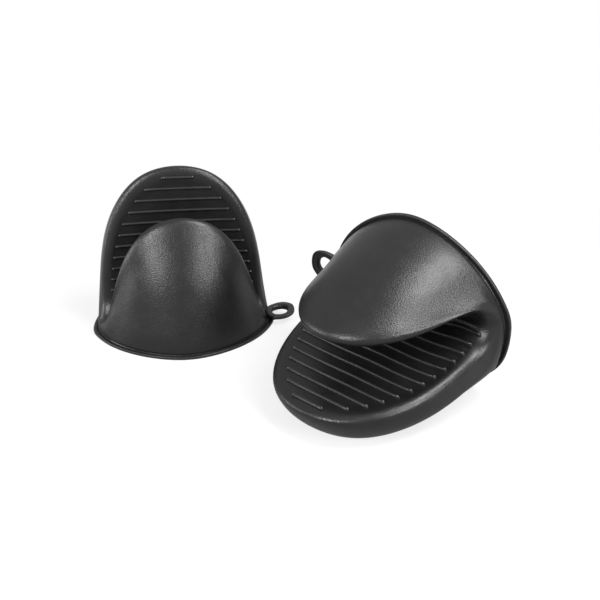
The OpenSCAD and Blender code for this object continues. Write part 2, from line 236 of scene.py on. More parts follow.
@dataclass
class MittForm:
    """Sizes of one mitt in mm, and the smooth sheet that its wall follows.

    Columns run round the mitt: 0 is the loop's side, 6 the back of the hand, 12 the far side, 18 the thumb.
    Rows run from the cuff (0) over the tips to the fold between the pockets (13).
    """

    cuff_half_width: float = 56.2
    cuff_finger_depth: float = 47.6
    cuff_thumb_depth: float = 49.0
    rim_out: float = 2.2
    rim_height: float = 1.8
    finger_length: float = 103.2
    finger_gap: float = 6.0
    finger_tip_thickness: float = 11.3
    dish_depth: float = 2.0
    border_width: float = 8.9
    thumb_length: float = 80.3
    thumb_gap: float = 5.2
    thumb_slope: float = 0.167
    thumb_tip_thickness: float = 9.2
    fold_height: float = 8.0
    wall: float = 2.2
    columns: int = 24
    last_row: int = 13
    outer_net: Points = field(init=False)
    inner_net: Points = field(init=False)

    def __post_init__(self) -> None:
        """Works out the outer and inner control nets once."""
        lines = self.finger_line(), self.thumb_line(), self.side_line()
        self.outer_net = self.net(*lines)
        self.inner_net = self.net(*(self.inset(line, self.wall) for line in lines))

    def finger_line(self) -> Points:
        """Middle line of the finger pocket, as (distance from the fold plane, height)."""
        length, gap = self.finger_length, self.finger_gap
        depth, dish = self.cuff_finger_depth, self.dish_depth
        face, fold, edge = 1.2 * gap, self.fold_height, self.border_width
        return np.array([(depth, 0), (0.941 * depth, 0.14 * length), (0.79 * depth, 0.42 * length),
                         (0.59 * depth, 0.76 * length),
                         (face + self.finger_tip_thickness + 0.26 * depth, 0.945 * length),
                         (face + 0.146 * edge, 1.012 * length), (face + 0.18 * edge, 1.012 * length),
                         (face, length - 0.45 * edge), (face + 0.6 * dish, length - edge),
                         (1.15 * gap + dish, 0.8 * length), (1.085 * gap + dish, 0.45 * length),
                         (gap, 2.125 * fold), (0.72 * gap, 1.0625 * fold), (0, fold)], float)

    def thumb_face(self, height: float) -> float:
        """Distance of the thumb's grip face from the fold plane at a height."""
        return self.thumb_gap + self.thumb_slope * (height - self.fold_height)

    def thumb_line(self) -> Points:
        """Middle line of the thumb pocket, as (distance from the fold plane, height)."""
        length, depth, gap = self.thumb_length, self.cuff_thumb_depth, self.thumb_gap
        fold, thick = self.fold_height, self.thumb_tip_thickness
        tip = self.thumb_face(length)
        return np.array([(depth, 0), (0.98 * depth, 0.16 * length), (0.808 * depth, 0.46 * length),
                         (0.647 * depth, 0.78 * length), (tip + thick, 0.95 * length),
                         (tip + 0.77 * thick, 1.015 * length), (tip + 0.16 * thick, 1.015 * length),
                         (tip, 0.925 * length), (tip, 0.875 * length),
                         (self.thumb_face(0.75 * length), 0.75 * length),
                         (self.thumb_face(0.5 * length), 0.5 * length), (gap, 2.125 * fold),
                         (0.72 * gap, 1.0625 * fold), (0, fold)], float)

    def side_line(self) -> Points:
        """Side line as (distance out, height): up from the cuff, over the notch and in along the fold."""
        shares = [(1, 0), (0.991, 0.2), (0.98, 0.4), (0.967, 0.575), (0.951, 0.73), (0.929, 0.865),
                  (0.9025, 0.97), (0.867, 1.03), (0.811, 1.05), (0.76, 1.05), (0.617, 1.04), (0.5285, 1),
                  (0.475, 1), (0.4465, 1)]
        return np.array(shares, float) * (self.cuff_half_width, self.fold_height)

    @staticmethod
    def inset(line: Points, distance: float) -> Points:
        """Moves a line inward with mitred corners.

        Args:
            line: Points as (distance out, height).
            distance: How far to move it, in mm.

        Returns:
            The moved line, with its first point kept level and its last kept central.
        """
        last = len(line) - 1
        steps: list[Points | None] = []
        for i in range(last):
            step = line[i + 1] - line[i]
            long = float(np.linalg.norm(step))
            steps.append(None if long < 1 and 0 < i < last - 1 else np.array([step[1], -step[0]]) / long)
        moved = [line[0] - [distance, 0]]
        for j in range(1, last):
            before = next(steps[i] for i in range(j - 1, -1, -1) if steps[i] is not None)
            after = next(steps[i] for i in range(j, last) if steps[i] is not None)
            moved.append(line[j] - distance * (before + after) / (1 + before @ after))
        moved.append(line[last] - [0, distance])
        return np.array(moved)

    def net(self, finger: Points, thumb: Points, side: Points) -> Points:
        """Control net of the wall from its three lines.

        Args:
            finger: Middle line of the finger pocket.
            thumb: Middle line of the thumb pocket.
            side: Line of the sides, which the net passes exactly.

        Returns:
            Points by column and row, with one extra row at each end.
        """
        count, rows = self.columns, self.last_row + 1
        net = np.zeros((count, rows, 3))
        for j in range(rows):
            fold = min(max((j - 8) / 4, 0), 1)
            rise, late = min(j / 5, 1), min(max((j - 3) / 3, 0), 1)
            for k in range(count):
                across, away = math.cos(2 * math.pi * k / count), math.sin(2 * math.pi * k / count)
                plan, line = (FINGER_PLAN, finger) if away > -1e-9 else (THUMB_PLAN, thumb)
                away = abs(away) if abs(away) > 1e-12 else 0.0
                across = across if abs(across) > 1e-12 else 0.0
                flat, bulge = plan.powers(rise, late, fold)
                waist = plan.waist[min(j, len(plan.waist) - 1)]
                narrow = 1 + (waist - 1) * (1 - fold) * min(away / 0.5, 1) ** 0.75
                beside = j > 0 and 0 < away < 0.3
                up = away ** (2 / (plan.side_power if j else 2)) * (plan.seam_rise if beside else 1)
                spread = plan.seam_spread if beside and j < 9 else 1
                net[k, j] = (side[j][0] * math.copysign(abs(across) ** (2 / flat), across) * narrow,
                             plan.way * line[j][0] * away ** (2 / bulge) * spread,
                             side[j][1] + (line[j][1] - side[j][1]) * up)
        seam = net.copy()
        for k, way in ((0, 1), (count // 2, -1)):
            on = np.stack([way * side[:, 0], np.zeros(rows), side[:, 1]], 1)
            seam[k] = 1.5 * on - 0.25 * (net[k - 1] + net[k + 1])
        return np.concatenate([2 * seam[:, :1] - seam[:, 1:2], seam, 2 * seam[:, -1:] - seam[:, -2:-1]], 1)

    def sheet(self, net: Points, column: Points, row: Points) -> Points:
        """Points of a sheet over a control net.

        Args:
            net: Control net of the sheet.
            column: Column of each point.
            row: Row of each point.

        Returns:
            The points in mm.
        """
        column, row = np.broadcast_arrays(np.asarray(column, float), np.asarray(row, float))
        first = np.floor(column).astype(int)
        low = np.clip(np.floor(row).astype(int), 0, self.last_row - 1)
        total = np.zeros((*column.shape, 3))
        for j, across in enumerate(self.weights(row - low)):
            for i, along in enumerate(self.weights(column - first)):
                total += (across * along)[..., None] * net[(first - 1 + i) % self.columns, low + j]
        return total

    @staticmethod
    def weights(t: Points) -> list[Points]:
        """The four weights of a smooth cubic at t from 0 to 1."""
        return [(1 - t) ** 3 / 6, (3 * t ** 3 - 6 * t * t + 4) / 6, (-3 * t ** 3 + 3 * t * t + 3 * t + 1) / 6,
                t ** 3 / 6]

    def skin(self, column: Points, row: Points) -> Points:
        """Outer points of the moulding."""
        return self.sheet(self.outer_net, column, row)

    def lining(self, column: Points, row: Points) -> Points:
        """Inner points of the moulding."""
        return self.sheet(self.inner_net, column, row)

    def normal(self, column: Points, row: Points) -> Points:
        """Outward directions of the skin.

        Args:
            column: Column of each point.
            row: Row of each point.

        Returns:
            A direction of length 1 for each point.
        """
        column, row = np.broadcast_arrays(np.asarray(column, float), np.asarray(row, float))
        low, high = np.maximum(row - 0.03, 0), np.minimum(row + 0.03, self.last_row)
        n = np.cross(self.skin(column + 0.03, row) - self.skin(column - 0.03, row),
                     self.skin(column, high) - self.skin(column, low))
        return n / np.maximum(np.linalg.norm(n, axis=-1, keepdims=True), 1e-12)

    def level_normal(self, column: Points, row: Points) -> Points:
        """Outward directions of the skin, laid level."""
        level = self.normal(column, row) * [1, 1, 0]
        return level / np.maximum(np.linalg.norm(level, axis=-1, keepdims=True), 1e-9)

    def on_face(self, x: Points, z: Points, thumb: bool) -> tuple[Points, Points]:
        """Finds where a grip face has the given x and z.

        Args:
            x: Side-to-side places in mm.
            z: Heights in mm.
            thumb: True for the thumb's face, False for the fingers' face.

        Returns:
            Columns and rows of the points on the face.
        """
        reach = np.degrees(np.arcsin(np.clip(x / (50 if thumb else 56), -1, 1))) / 15
        column = 18 + reach if thumb else 6 - reach
        row = 9.6 - (z - 60) / 28
        for _ in range(14):
            here = self.skin(column, row)
            a = (self.skin(column + 0.02, row) - here) / 0.02
            b = (self.skin(column, row + 0.02) - here) / 0.02
            off_x, off_z = x - here[..., 0], z - here[..., 2]
            det = a[..., 0] * b[..., 2] - b[..., 0] * a[..., 2]
            column = column + np.clip((off_x * b[..., 2] - off_z * b[..., 0]) / det, -0.6, 0.6)
            row = np.clip(row + np.clip((a[..., 0] * off_z - a[..., 2] * off_x) / det, -0.6, 0.6), 7.0, 12.6)
        return column, row


class NodeBench:
    """Adds the nodes of one material, or of the surroundings."""

    def __init__(self, tree: bpy.types.NodeTree, coordinates: str = "Object") -> None:
        """Takes up a node tree.

        Args:
            tree: Nodes of the material or of the surroundings.
            coordinates: Name of the coordinates that its patterns follow.
        """
        self.nodes, self.links = tree.nodes, tree.links
        self.coordinates = self.nodes.new("ShaderNodeTexCoord").outputs[coordinates]

    def feed(self, socket: Socket, value: object) -> None:
        """Gives a socket its value, from another socket or as a constant."""
        if isinstance(value, bpy.types.NodeSocket):
            self.links.new(value, socket)
        else:
            socket.default_value = value

    def noise(self, size: float, detail: float, roughness: float = 0.5) -> bpy.types.Node:
        """Adds noise over the object.

        Args:
            size: Size of its features in mm.
            detail: Number of finer layers.
            roughness: Strength of those layers.

        Returns:
            The noise node.
        """
        node = self.nodes.new("ShaderNodeTexNoise")
        node.inputs["Scale"].default_value = 1 / (size * MM)
        node.inputs["Detail"].default_value = detail
        node.inputs["Roughness"].default_value = roughness
        self.links.new(self.coordinates, node.inputs["Vector"])
        return node

    def pebbles(self, size: float, wander_size: float = 1.42857, wander: float = 0.2) -> Socket:
        """Adds rounded pebbles in a pattern that wanders a little, as moulded grain does.

        Args:
            size: Size of a pebble in mm.
            wander_size: Size of the wandering's features in mm.
            wander: How far the pattern wanders in mm.

        Returns:
            The distance from each pebble's middle.
        """
        warp = self.nodes.new("ShaderNodeVectorMath")
        warp.operation = "MULTIPLY_ADD"
        self.feed(warp.inputs[0], self.noise(wander_size, 2.0).outputs["Color"])
        self.feed(warp.inputs[1], (wander * MM,) * 3)
        self.feed(warp.inputs[2], self.coordinates)
        pebbles = self.nodes.new("ShaderNodeTexVoronoi")
        pebbles.feature = "SMOOTH_F1"
        pebbles.inputs["Scale"].default_value = 1 / (size * MM)
        pebbles.inputs["Smoothness"].default_value = 0.6
        pebbles.inputs["Randomness"].default_value = 1.0
        self.links.new(warp.outputs[0], pebbles.inputs["Vector"])
        return pebbles.outputs["Distance"]

    def arithmetic(self, kind: str, a: object, b: object) -> Socket:
        """Adds one arithmetic step.

        Args:
            kind: The operation.
            a: Its first value, a socket or a number.
            b: Its second value.

        Returns:
            The result.
        """
        node = self.nodes.new("ShaderNodeMath")
        node.operation = kind
        self.feed(node.inputs[0], a)
        self.feed(node.inputs[1], b)
        return node.outputs[0]

    def ranged(self, value: Socket, source: tuple[float, float], target: tuple[float, float],
               steps: str = "LINEAR") -> Socket:
        """Maps one range to another, clamped.

        Args:
            value: The value to map.
            source: Its range.
            target: The range of the result.
            steps: How the result goes from one end to the other.

        Returns:
            The result.
        """
        node = self.nodes.new("ShaderNodeMapRange")
        node.interpolation_type = steps
        for name, number in zip(("From Min", "From Max", "To Min", "To Max"), (*source, *target)):
            node.inputs[name].default_value = number
        self.links.new(value, node.inputs["Value"])
        return node.outputs["Result"]

    def mixed(self, a: object, b: object, share: Socket, blend: str = "MIX") -> Socket:
        """Mixes two colours.

        Args:
            a: First colour, a socket or a constant.
            b: Second colour.
            share: Share of the second colour.
            blend: How the second colour goes over the first.

        Returns:
            The mixed colour.
        """
        node = self.nodes.new("ShaderNodeMix")
        node.data_type = "RGBA"
        node.blend_type = blend
        self.feed(node.inputs["A"], a)
        self.feed(node.inputs["B"], b)
        self.feed(node.inputs["Factor"], share)
        return node.outputs["Result"]

    def bump(self, height: Socket, distance: float, strength: float, below: Socket | None = None) -> Socket:
        """Raises the surface by a pattern.

        Args:
            height: The pattern.
            distance: Height of its relief in mm.
            strength: How much of it is used.
            below: Direction of the surface that it lies on.

        Returns:
            The direction of the raised surface.
        """
        node = self.nodes.new("ShaderNodeBump")
        node.inputs["Strength"].default_value = strength
        node.inputs["Distance"].default_value = distance * MM
        self.links.new(height, node.inputs["Height"])
        if below is not None:
            self.links.new(below, node.inputs["Normal"])
        return node.outputs["Normal"]


@dataclass(frozen=True)
class Patterns:
    """The patterns that a finish is made from.

    Attributes:
        panel: Share of the ribbed panel, which is smoother and also carries painted shade.
        patches: Slow pattern, some 9 mm across.
        fine: Finest pattern.
    """

    bench: NodeBench
    panel: Socket
    patches: Socket
    fine: Socket


@dataclass(frozen=True)
class Silicone:
    """Finish of moulded black silicone.

    Attributes:
        roughness: Mean roughness.
        grain: Height of the pebbled grain in mm.
        grain_size: Size of a pebble in mm.
        panel_grain: Height of the grain on the smoother ribbed panel in mm.
        specular: Strength of the surface reflection.
    """

    name: str
    color: tuple[float, float, float]
    roughness: float
    grain: float
    grain_size: float
    panel_grain: float
    specular: float
    refraction: float = 1.43
    dust: tuple[float, float, float, float] = (0.09, 0.09, 0.088, 1)

    def relief(self, over: Patterns) -> Socket:
        """Adds the pebbled grain, on a slow ripple, lower on the panel.

        Args:
            over: The finish's patterns.

        Returns:
            The direction of the surface.
        """
        bench = over.bench
        pebbles = bench.ranged(bench.pebbles(self.grain_size), (0.1, 0.75), (1.0, 0.0))
        height = bench.arithmetic("ADD", bench.arithmetic("MULTIPLY", pebbles, 0.75),
                                  bench.arithmetic("MULTIPLY", over.fine, 0.45))
        depth = bench.ranged(over.patches, (0.3, 0.7), (0.75, 1.15))
        smoother = bench.ranged(over.panel, (0.0, 1.0), (1.0, self.panel_grain / self.grain))
        height = bench.arithmetic("MULTIPLY", height, bench.arithmetic("MULTIPLY", depth, smoother))
        ripple = bench.bump(bench.noise(22.0, 2.0).outputs["Fac"], 0.1, 0.6)
        return bench.bump(height, self.grain, 1.0, ripple)

    def sheen(self, over: Patterns) -> Socket:
        """Adds the uneven sheen, duller on the panel.

        Args:
            over: The finish's patterns.

        Returns:
            The roughness.
        """
        bench = over.bench
        slow = bench.ranged(over.patches, (0.25, 0.75), (self.roughness - 0.035, self.roughness + 0.035))
        quick = bench.ranged(over.fine, (0.3, 0.7), (-0.02, 0.03))
        return bench.arithmetic("ADD", bench.arithmetic("ADD", slow, quick),
                                bench.ranged(over.panel, (0.0, 1.0), (0.0, 0.05)))

    def tone(self, over: Patterns) -> Socket:
        """Adds the uneven black, with painted shade that darkens the ribbed panel in the hollow under the
        thumb, and specks of dust.

        Args:
            over: The finish's patterns.

        Returns:
            The colour.
        """
        bench = over.bench
        dark, light = ((*(share * c for c in self.color), 1) for share in (0.86, 1.12))
        uneven = bench.arithmetic("ADD", bench.arithmetic("MULTIPLY", over.patches, 0.6),
                                  bench.arithmetic("MULTIPLY", over.fine, 0.4))
        black = bench.mixed(dark, light, bench.ranged(uneven, (0.3, 0.7), (0.0, 1.0)))
        # Painted shade: the panel is multiplied darker, standing in for the shade of the hollow under the
        # thumb.
        black = bench.mixed(black, (0.62, 0.6, 0.62, 1), over.panel, "MULTIPLY")
        specks = bench.ranged(bench.noise(1.3, 4.0, 0.7).outputs["Fac"], (0.66, 0.8), (0.0, 0.22))
        return bench.mixed(black, self.dust, specks)

    def material(self) -> bpy.types.Material:
        """Builds the material with its grain, sheen and dust.

        Returns:
            The finished material.
        """
        material = bpy.data.materials.new(self.name)
        material.use_nodes = True
        bench = NodeBench(material.node_tree)
        shader = bench.nodes["Principled BSDF"]
        shader.inputs["Specular IOR Level"].default_value = self.specular
        shader.inputs["IOR"].default_value = self.refraction
        attribute = bench.nodes.new("ShaderNodeAttribute")
        attribute.attribute_name = PANEL_ATTRIBUTE
        over = Patterns(bench, attribute.outputs["Fac"], bench.noise(9.0, 3.0, 0.55).outputs["Fac"],
                        bench.noise(0.28, 3.0, 0.6).outputs["Fac"])
        for name, make in (("Normal", self.relief), ("Roughness", self.sheen), ("Base Color", self.tone)):
            bench.links.new(make(over), shader.inputs[name])
        return material


SKIN_FINISH = Silicone("black_silicone_grained", color=(0.008, 0.008, 0.0085), roughness=0.31, grain=0.078,
                       grain_size=0.6, panel_grain=0.05, specular=0.5)
RIB_FINISH = Silicone("black_silicone_smooth", color=(0.009, 0.009, 0.0095), roughness=0.3, grain=0.02,
                      grain_size=0.7, panel_grain=0.02, specular=0.6)
RIM_FINISH = Silicone("black_silicone_rim", color=(0.008, 0.008, 0.0085), roughness=0.38, grain=0.03,
                      grain_size=0.7, panel_grain=0.03, specular=0.6)


def wrapped_grid(name: str, across: int, along: int,
                 shape: Callable[[Points, Points], Points]) -> bpy.types.Object:
    """Wraps a flat grid into a closed moulded form and sews its edges.

    Args:
        name: Name of the piece.
        across: Number of cells along the first direction.
        along: Number of cells along the second direction.
        shape: Gives the place in metres of each grid point from its two shares, 0 to 1.

    Returns:
        The finished piece, with smooth shading.
    """
    bpy.ops.object.select_all(action="DESELECT")
    bpy.ops.mesh.primitive_grid_add(x_subdivisions=across, y_subdivisions=along, size=1)
    piece = bpy.context.active_object
    piece.name = piece.data.name = name
    flat = np.zeros(len(piece.data.vertices) * 3, np.float32)
    piece.data.vertices.foreach_get("co", flat)
    flat = flat.reshape(-1, 3).astype(float) + 0.5
    u = np.round(flat[:, 0] * across) / across
    v = np.round(flat[:, 1] * along) / along
    piece.data.vertices.foreach_set("co", shape(u, v).astype(np.float32).ravel())
    piece.data.update()
    bpy.ops.object.mode_set(mode="EDIT")
    bpy.ops.mesh.select_all(action="SELECT")
    bpy.ops.mesh.remove_doubles(threshold=1e-6)
    bpy.ops.mesh.dissolve_degenerate(threshold=1e-7)
    bpy.ops.object.mode_set(mode="OBJECT")
    bpy.ops.object.shade_smooth()
    return piece


def rounded(lines: Points, strength: Points) -> Points:
    """Rounds lines of points in one smoothing step that allows for their spacing.

    Args:
        lines: Points by line and place along it.
        strength: Smoothing at each place along the lines, in square mm.

    Returns:
        The rounded points.
    """
    gap = np.maximum(np.linalg.norm(np.diff(lines, axis=1), axis=2), 1e-4)
    count = lines.shape[1]
    before, after, inner = gap[:, :-1], gap[:, 1:], np.arange(1, count - 1)
    pull = 2 * strength[inner] / (before + after)
    system = np.tile(np.eye(count), (len(lines), 1, 1))
    system[:, inner, inner - 1] = -pull / before
    system[:, inner, inner + 1] = -pull / after
    system[:, inner, inner] = 1 + pull / before + pull / after
    return np.linalg.solve(system, lines)


def dress(piece: bpy.types.Object, material: bpy.types.Material) -> None:
    """Gives a piece its material.

    Args:
        piece: The piece.
        material: Its finish.
    """
    piece.data.materials.clear()
    piece.data.materials.append(material)


@dataclass(frozen=True)
class RibRow:
    """A row of raised bars across one grip face. Sizes are in mm.

    Attributes:
        top: Height of the top bar on the mitt.
        foot: Height at which the bars start to grow shorter.
        past_top: How far above the top bar their outline closes.
        half_length: Half the length of the bars at the foot.
        power: Roundness of that outline, 2 being an ellipse.
        longer_below: How much longer on each side a bar at the cuff would be.
        thumb: True for the thumb's face.
        root: How far a bar reaches into the wall.
        knob: How much fuller a bar is at its ends, as a share.
        knob_spread: How far that fullness reaches along the bar.
    """

    count: int
    top: float
    foot: float
    past_top: float
    half_length: float
    power: float
    longer_below: float
    thumb: bool
    pitch: float = 7.1
    width: float = 2.0
    height: float = 1.2
    root: float = 0.5
    knob: float = 0.16
    knob_spread: float = 1.1

    def reach(self, z: float) -> float:
        """Works out how long a bar is.

        Args:
            z: Height of the bar on the mitt in mm.

        Returns:
            Half the bar's length in mm.
        """
        share = min(max((z - self.foot) / (self.top + self.past_top - self.foot), 0), 1)
        below = min(max((self.foot - z) / self.foot, 0), 1)
        return self.half_length * (1 - share ** self.power) ** (1 / self.power) + self.longer_below * below

    def bar(self, name: str, form: MittForm, placement: Placement, z: float) -> bpy.types.Object:
        """Makes one bar with domed ends.

        Args:
            name: Name of the bar.
            form: The mitt that carries it.
            placement: Where the mitt lies.
            z: Height of the bar on the mitt in mm.

        Returns:
            The bar as one closed piece.
        """
        half, reach = self.width / 2, self.reach(z)
        dome_steps, middle_steps, around_steps = 6, 40, 16
        dome = 1 - np.cos(np.linspace(0, math.pi / 2, dome_steps + 1))
        middle = np.linspace(-reach + half, reach - half, middle_steps + 1)[1:-1]
        xs = np.concatenate([-reach + half * dome, middle, reach - half * dome[::-1]])
        past_middle = np.abs(xs) - (reach - half)
        swell = np.sqrt(np.maximum(1 - np.clip(past_middle / half, 0, 1) ** 2, 0))
        knob = 1 + self.knob * np.exp(-(past_middle / self.knob_spread) ** 2)
        column, row = form.on_face(np.clip(xs, -reach + half, reach - half), np.full(len(xs), z), self.thumb)
        base, out = form.skin(column, row), form.normal(column, row)
        base[:, 0] = xs
        up = np.array([0.0, 0.0, 1.0])

        def shape(u: Points, v: Points) -> Points:
            """Wraps the grid round the bar."""
            i = np.round(u * (len(xs) - 1)).astype(int)
            turn = 2 * math.pi * v
            lift = np.where(np.sin(turn) > 0, self.height * knob[i], self.root) * np.sin(turn) * swell[i]
            side = half * np.cos(turn) * swell[i] * knob[i]
            return placement.put(base[i] + out[i] * lift[:, None] + up * side[:, None])

        return wrapped_grid(name, len(xs) - 1, around_steps, shape)

    def build(self, name: str, form: MittForm, placement: Placement, material: bpy.types.Material,
              body: str) -> bpy.types.Object:
        """Makes the whole row and joins it into one piece.

        Args:
            name: Node that the row replaces, which also names the piece.
            form: The mitt that carries it.
            placement: Where the mitt lies.
            material: Finish of the bars.
            body: Body that the row moves with.

        Returns:
            The row of bars.
        """
        bars = [self.bar(f"{name}_bar_{i + 1}", form, placement, self.top - i * self.pitch)
                for i in range(self.count)]
        bpy.ops.object.select_all(action="DESELECT")
        for bar in bars:
            bar.select_set(True)
        bpy.context.view_layer.objects.active = bars[0]
        bpy.ops.object.join()
        row = bpy.context.active_object
        row.name = row.data.name = f"{name}_moulded"
        dress(row, material)
        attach(row, body)
        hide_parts(name)
        return row


FINGER_BARS = RibRow(count=13, top=95.8, foot=16.7, past_top=2.3, half_length=46.0, power=1.936,
                     longer_below=3.6, thumb=False)
THUMB_BARS = RibRow(count=8, top=71.0, foot=22.0, past_top=3.5, half_length=34.0, power=2.1,
                    longer_below=0.0, thumb=True)


@dataclass(frozen=True)
class PanelArea:
    """Where the smoother ribbed panel lies on the fingers' grip face, which also takes painted shade, in the
    mitt's own mm.

    Attributes:
        foot: Height at which its sides start to close in.
        power: Roundness of its outline, 2 being an ellipse.
        fade: Width of its soft edge.
        lowest: Height at which it starts to set in above the fold.
        set_in: Height over which it sets in.
        depth: Distances from the fold plane between which it lies.
        facing: Most that the y of its direction may be, so that it faces the thumb.
    """

    foot: float = 16.7
    tip: float = 101.0
    half_width: float = 48.5
    power: float = 2.05
    fade: float = 2.2
    lowest: float = 8.5
    set_in: float = 3.0
    depth: tuple[float, float] = (0.5, 18.0)
    facing: float = -0.35

    def share(self, points: Points, directions: Points) -> Points:
        """How far each point belongs to the panel, 0 to 1.

        Args:
            points: Mitt points in mm.
            directions: Outward direction of each point.

        Returns:
            The share of each point.
        """
        x, y, z = points[:, 0], points[:, 1], points[:, 2]
        up = np.clip((z - self.foot) / (self.tip - self.foot), 0, 1)
        edge = self.half_width * (1 - up ** self.power) ** (1 / self.power)
        within = smooth(edge - np.abs(x), -self.fade / 2, self.fade / 2)
        low = np.clip((z - self.lowest) / self.set_in, 0, 1)
        near, away = self.depth
        return within * low * (directions[:, 1] < self.facing) * (y > near) * (y < away)


@dataclass
class Moulding:
    """One mitt's wall, cuff rim, grip bars and loop. Sizes are in mm.

    Attributes:
        groove_depth: Depth of the line above the rim.
        groove_height: Height of that line above the cuff.
        groove_width: Half the width of that line.
        edge_softness: How strongly the edges of the pockets are rounded, in square mm.
        edge_from: Rows of the skin between which that rounding sets in.
        edge_to: Rows between which it dies out.
        rim_lap: How far the rim reaches into the wall.
        loop_power: Squareness of the ring's section, 1 being round.
        loop_flare: How much wider the ring is at its root, as a share.
        loop_thicker: How much thicker it is there, as a share.
        loop_lift: Rise of the loop for each mm that it reaches past its root.
        loop_root: Distance of that root from the middle.
    """

    mitt: Mitt
    placement: Placement
    form: MittForm = field(default_factory=MittForm)
    panel: PanelArea = PanelArea()
    groove_depth: float = 0.3
    groove_height: float = 2.35
    groove_width: float = 0.36
    edge_softness: float = 6.5
    edge_from: tuple[float, float] = (2.9, 3.8)
    edge_to: tuple[float, float] = (7.2, 8.1)
    wall_columns: int = 240
    rim_lap: float = 0.9
    rim_corner: float = 0.55
    loop_centre: tuple[float, float, float] = (62.2, -2.5, 4.2)
    loop_hole: float = 10.2
    loop_outer: float = 19.4
    loop_thickness: float = 3.2
    loop_power: float = 0.62
    loop_flare: float = 0.28
    loop_thicker: float = 0.1
    loop_lift: float = 0.13
    loop_root: float = 55.0

    def node(self, part: str) -> str:
        """Name of one of this mitt's nodes."""
        return f"{self.mitt.value}_{part}"

    def body(self, part: str) -> str:
        """Name of one of this mitt's bodies."""
        return f"{self.mitt.value}_{part}"

    def row_places(self) -> tuple[Points, Points]:
        """Rows of the wall's mesh, close together at the line above the rim and at the pockets' edges.

        Returns:
            Rows of the lining from the fold to the cuff, and of the skin from the cuff to the fold.
        """
        last = self.form.last_row
        lining = np.concatenate([np.linspace(last, 7, 20)[:-1], np.linspace(7, 4, 16)[:-1],
                                 np.linspace(4, 0, 14)])
        skin = np.concatenate([np.arange(0, 0.3, 0.03), np.arange(0.3, 4, 0.1), np.arange(4, 7.4, 0.06),
                               np.linspace(7.4, last, 58)])
        return lining, skin

    def wall(self, material: bpy.types.Material) -> bpy.types.Object:
        """Makes the whole wall, outside and lining, as one sewn sheet.

        Args:
            material: Finish of the silicone.

        Returns:
            The wall.
        """
        form = self.form
        lining_rows, rows = self.row_places()
        columns = np.arange(self.wall_columns + 1) * form.columns / self.wall_columns % form.columns
        skin = form.skin(columns[:, None], rows[None])
        groove = self.groove_depth * np.exp(-((skin[..., 2] - self.groove_height) / self.groove_width) ** 2)
        groove = groove * (rows < self.edge_from[0])
        skin -= form.level_normal(columns[:, None], rows[None]) * groove[..., None]
        edges = smooth(rows, *self.edge_from) * (1 - smooth(rows, *self.edge_to))
        skin = rounded(skin, self.edge_softness * edges)
        table = np.concatenate([form.lining(columns[:, None], lining_rows[None]), skin], axis=1)

        def shape(u: Points, v: Points) -> Points:
            """Wraps the grid round the mitt, lining first."""
            across = np.round(u * self.wall_columns).astype(int)
            along = np.round(v * (table.shape[1] - 1)).astype(int)
            return self.placement.put(table[across, along])

        piece = wrapped_grid(self.node("moulded_wall"), self.wall_columns, table.shape[1] - 1, shape)
        self.store_panel(piece)
        dress(piece, material)
        self.bend_at_fold(piece)
        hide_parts(*(self.node(part) for part in ("finger_pocket", "thumb_pocket", "fold_web")))
        return piece

    def store_panel(self, piece: bpy.types.Object) -> None:
        """Keeps on the wall how far each of its points lies on the ribbed panel.

        Args:
            piece: The wall.
        """
        count = len(piece.data.vertices)
        places, directions = np.zeros(count * 3, np.float32), np.zeros(count * 3, np.float32)
        piece.data.vertices.foreach_get("co", places)
        piece.data.vertex_normals.foreach_get("vector", directions)
        back = self.placement.matrix()
        points = (places.reshape(-1, 3) / MM - np.array(self.placement.move)) @ back
        share = self.panel.share(points, directions.reshape(-1, 3) @ back)
        attribute = piece.data.attributes.new(PANEL_ATTRIBUTE, "FLOAT", "POINT")
        attribute.data.foreach_set("value", share.astype(np.float32))

    def bend_at_fold(self, piece: bpy.types.Object) -> None:
        """Bakes a piece's place into its points; the two fold points it works out are not used."""
        self.placement.spot(0, 2.4, 5)
        self.placement.spot(0, -5.0, 5)
        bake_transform(piece)

    def rim(self, material: bpy.types.Material) -> bpy.types.Object:
        """Makes the raised rim round the cuff as one ring.

        Args:
            material: Finish of the rim.

        Returns:
            The rim.
        """
        form = self.form
        out, high, corner, lap = form.rim_out, form.rim_height, self.rim_corner, self.rim_lap
        turns = np.linspace(-math.pi / 2, math.pi / 2, 13)
        foot, inner_top = 0.02, high - 0.25
        section = [(-lap, foot)]
        section += [(out - corner + corner * math.cos(a),
                     (corner if a < 0 else high - corner) + corner * math.sin(a)) for a in turns]
        section += [(0.35, high + 0.05), (-0.05, inner_top), (-lap, inner_top), (-lap, foot)]
        profile = np.array(section)

        def shape(u: Points, v: Points) -> Points:
            """Sweeps the section round the cuff's edge."""
            i = np.round(v * (len(profile) - 1)).astype(int)
            column, row = (u * form.columns) % form.columns, np.zeros_like(u)
            level = form.level_normal(column, row)
            return self.placement.put(form.skin(column, row) + level * profile[i, :1]
                                      + np.array([0, 0, 1.0]) * profile[i, 1:])

        piece = wrapped_grid(self.node("moulded_rim"), self.wall_columns, len(profile) - 1, shape)
        dress(piece, material)
        self.bend_at_fold(piece)
        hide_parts(*(self.node(part) for part in ("finger_cuff_rim", "thumb_cuff_rim",
                                                          "web_cuff_rim")))
        return piece

    def loop(self, material: bpy.types.Material) -> bpy.types.Object:
        """Makes the hanging loop, a ring with softened edges that runs into the wall.

        Args:
            material: Finish of the ring.

        Returns:
            The ring.
        """
        x, y, z = self.loop_centre
        hole, outer, half = self.loop_hole / 2, self.loop_outer / 2, self.loop_thickness / 2
        middle, reach = (hole + outer) / 2, (outer - hole) / 2

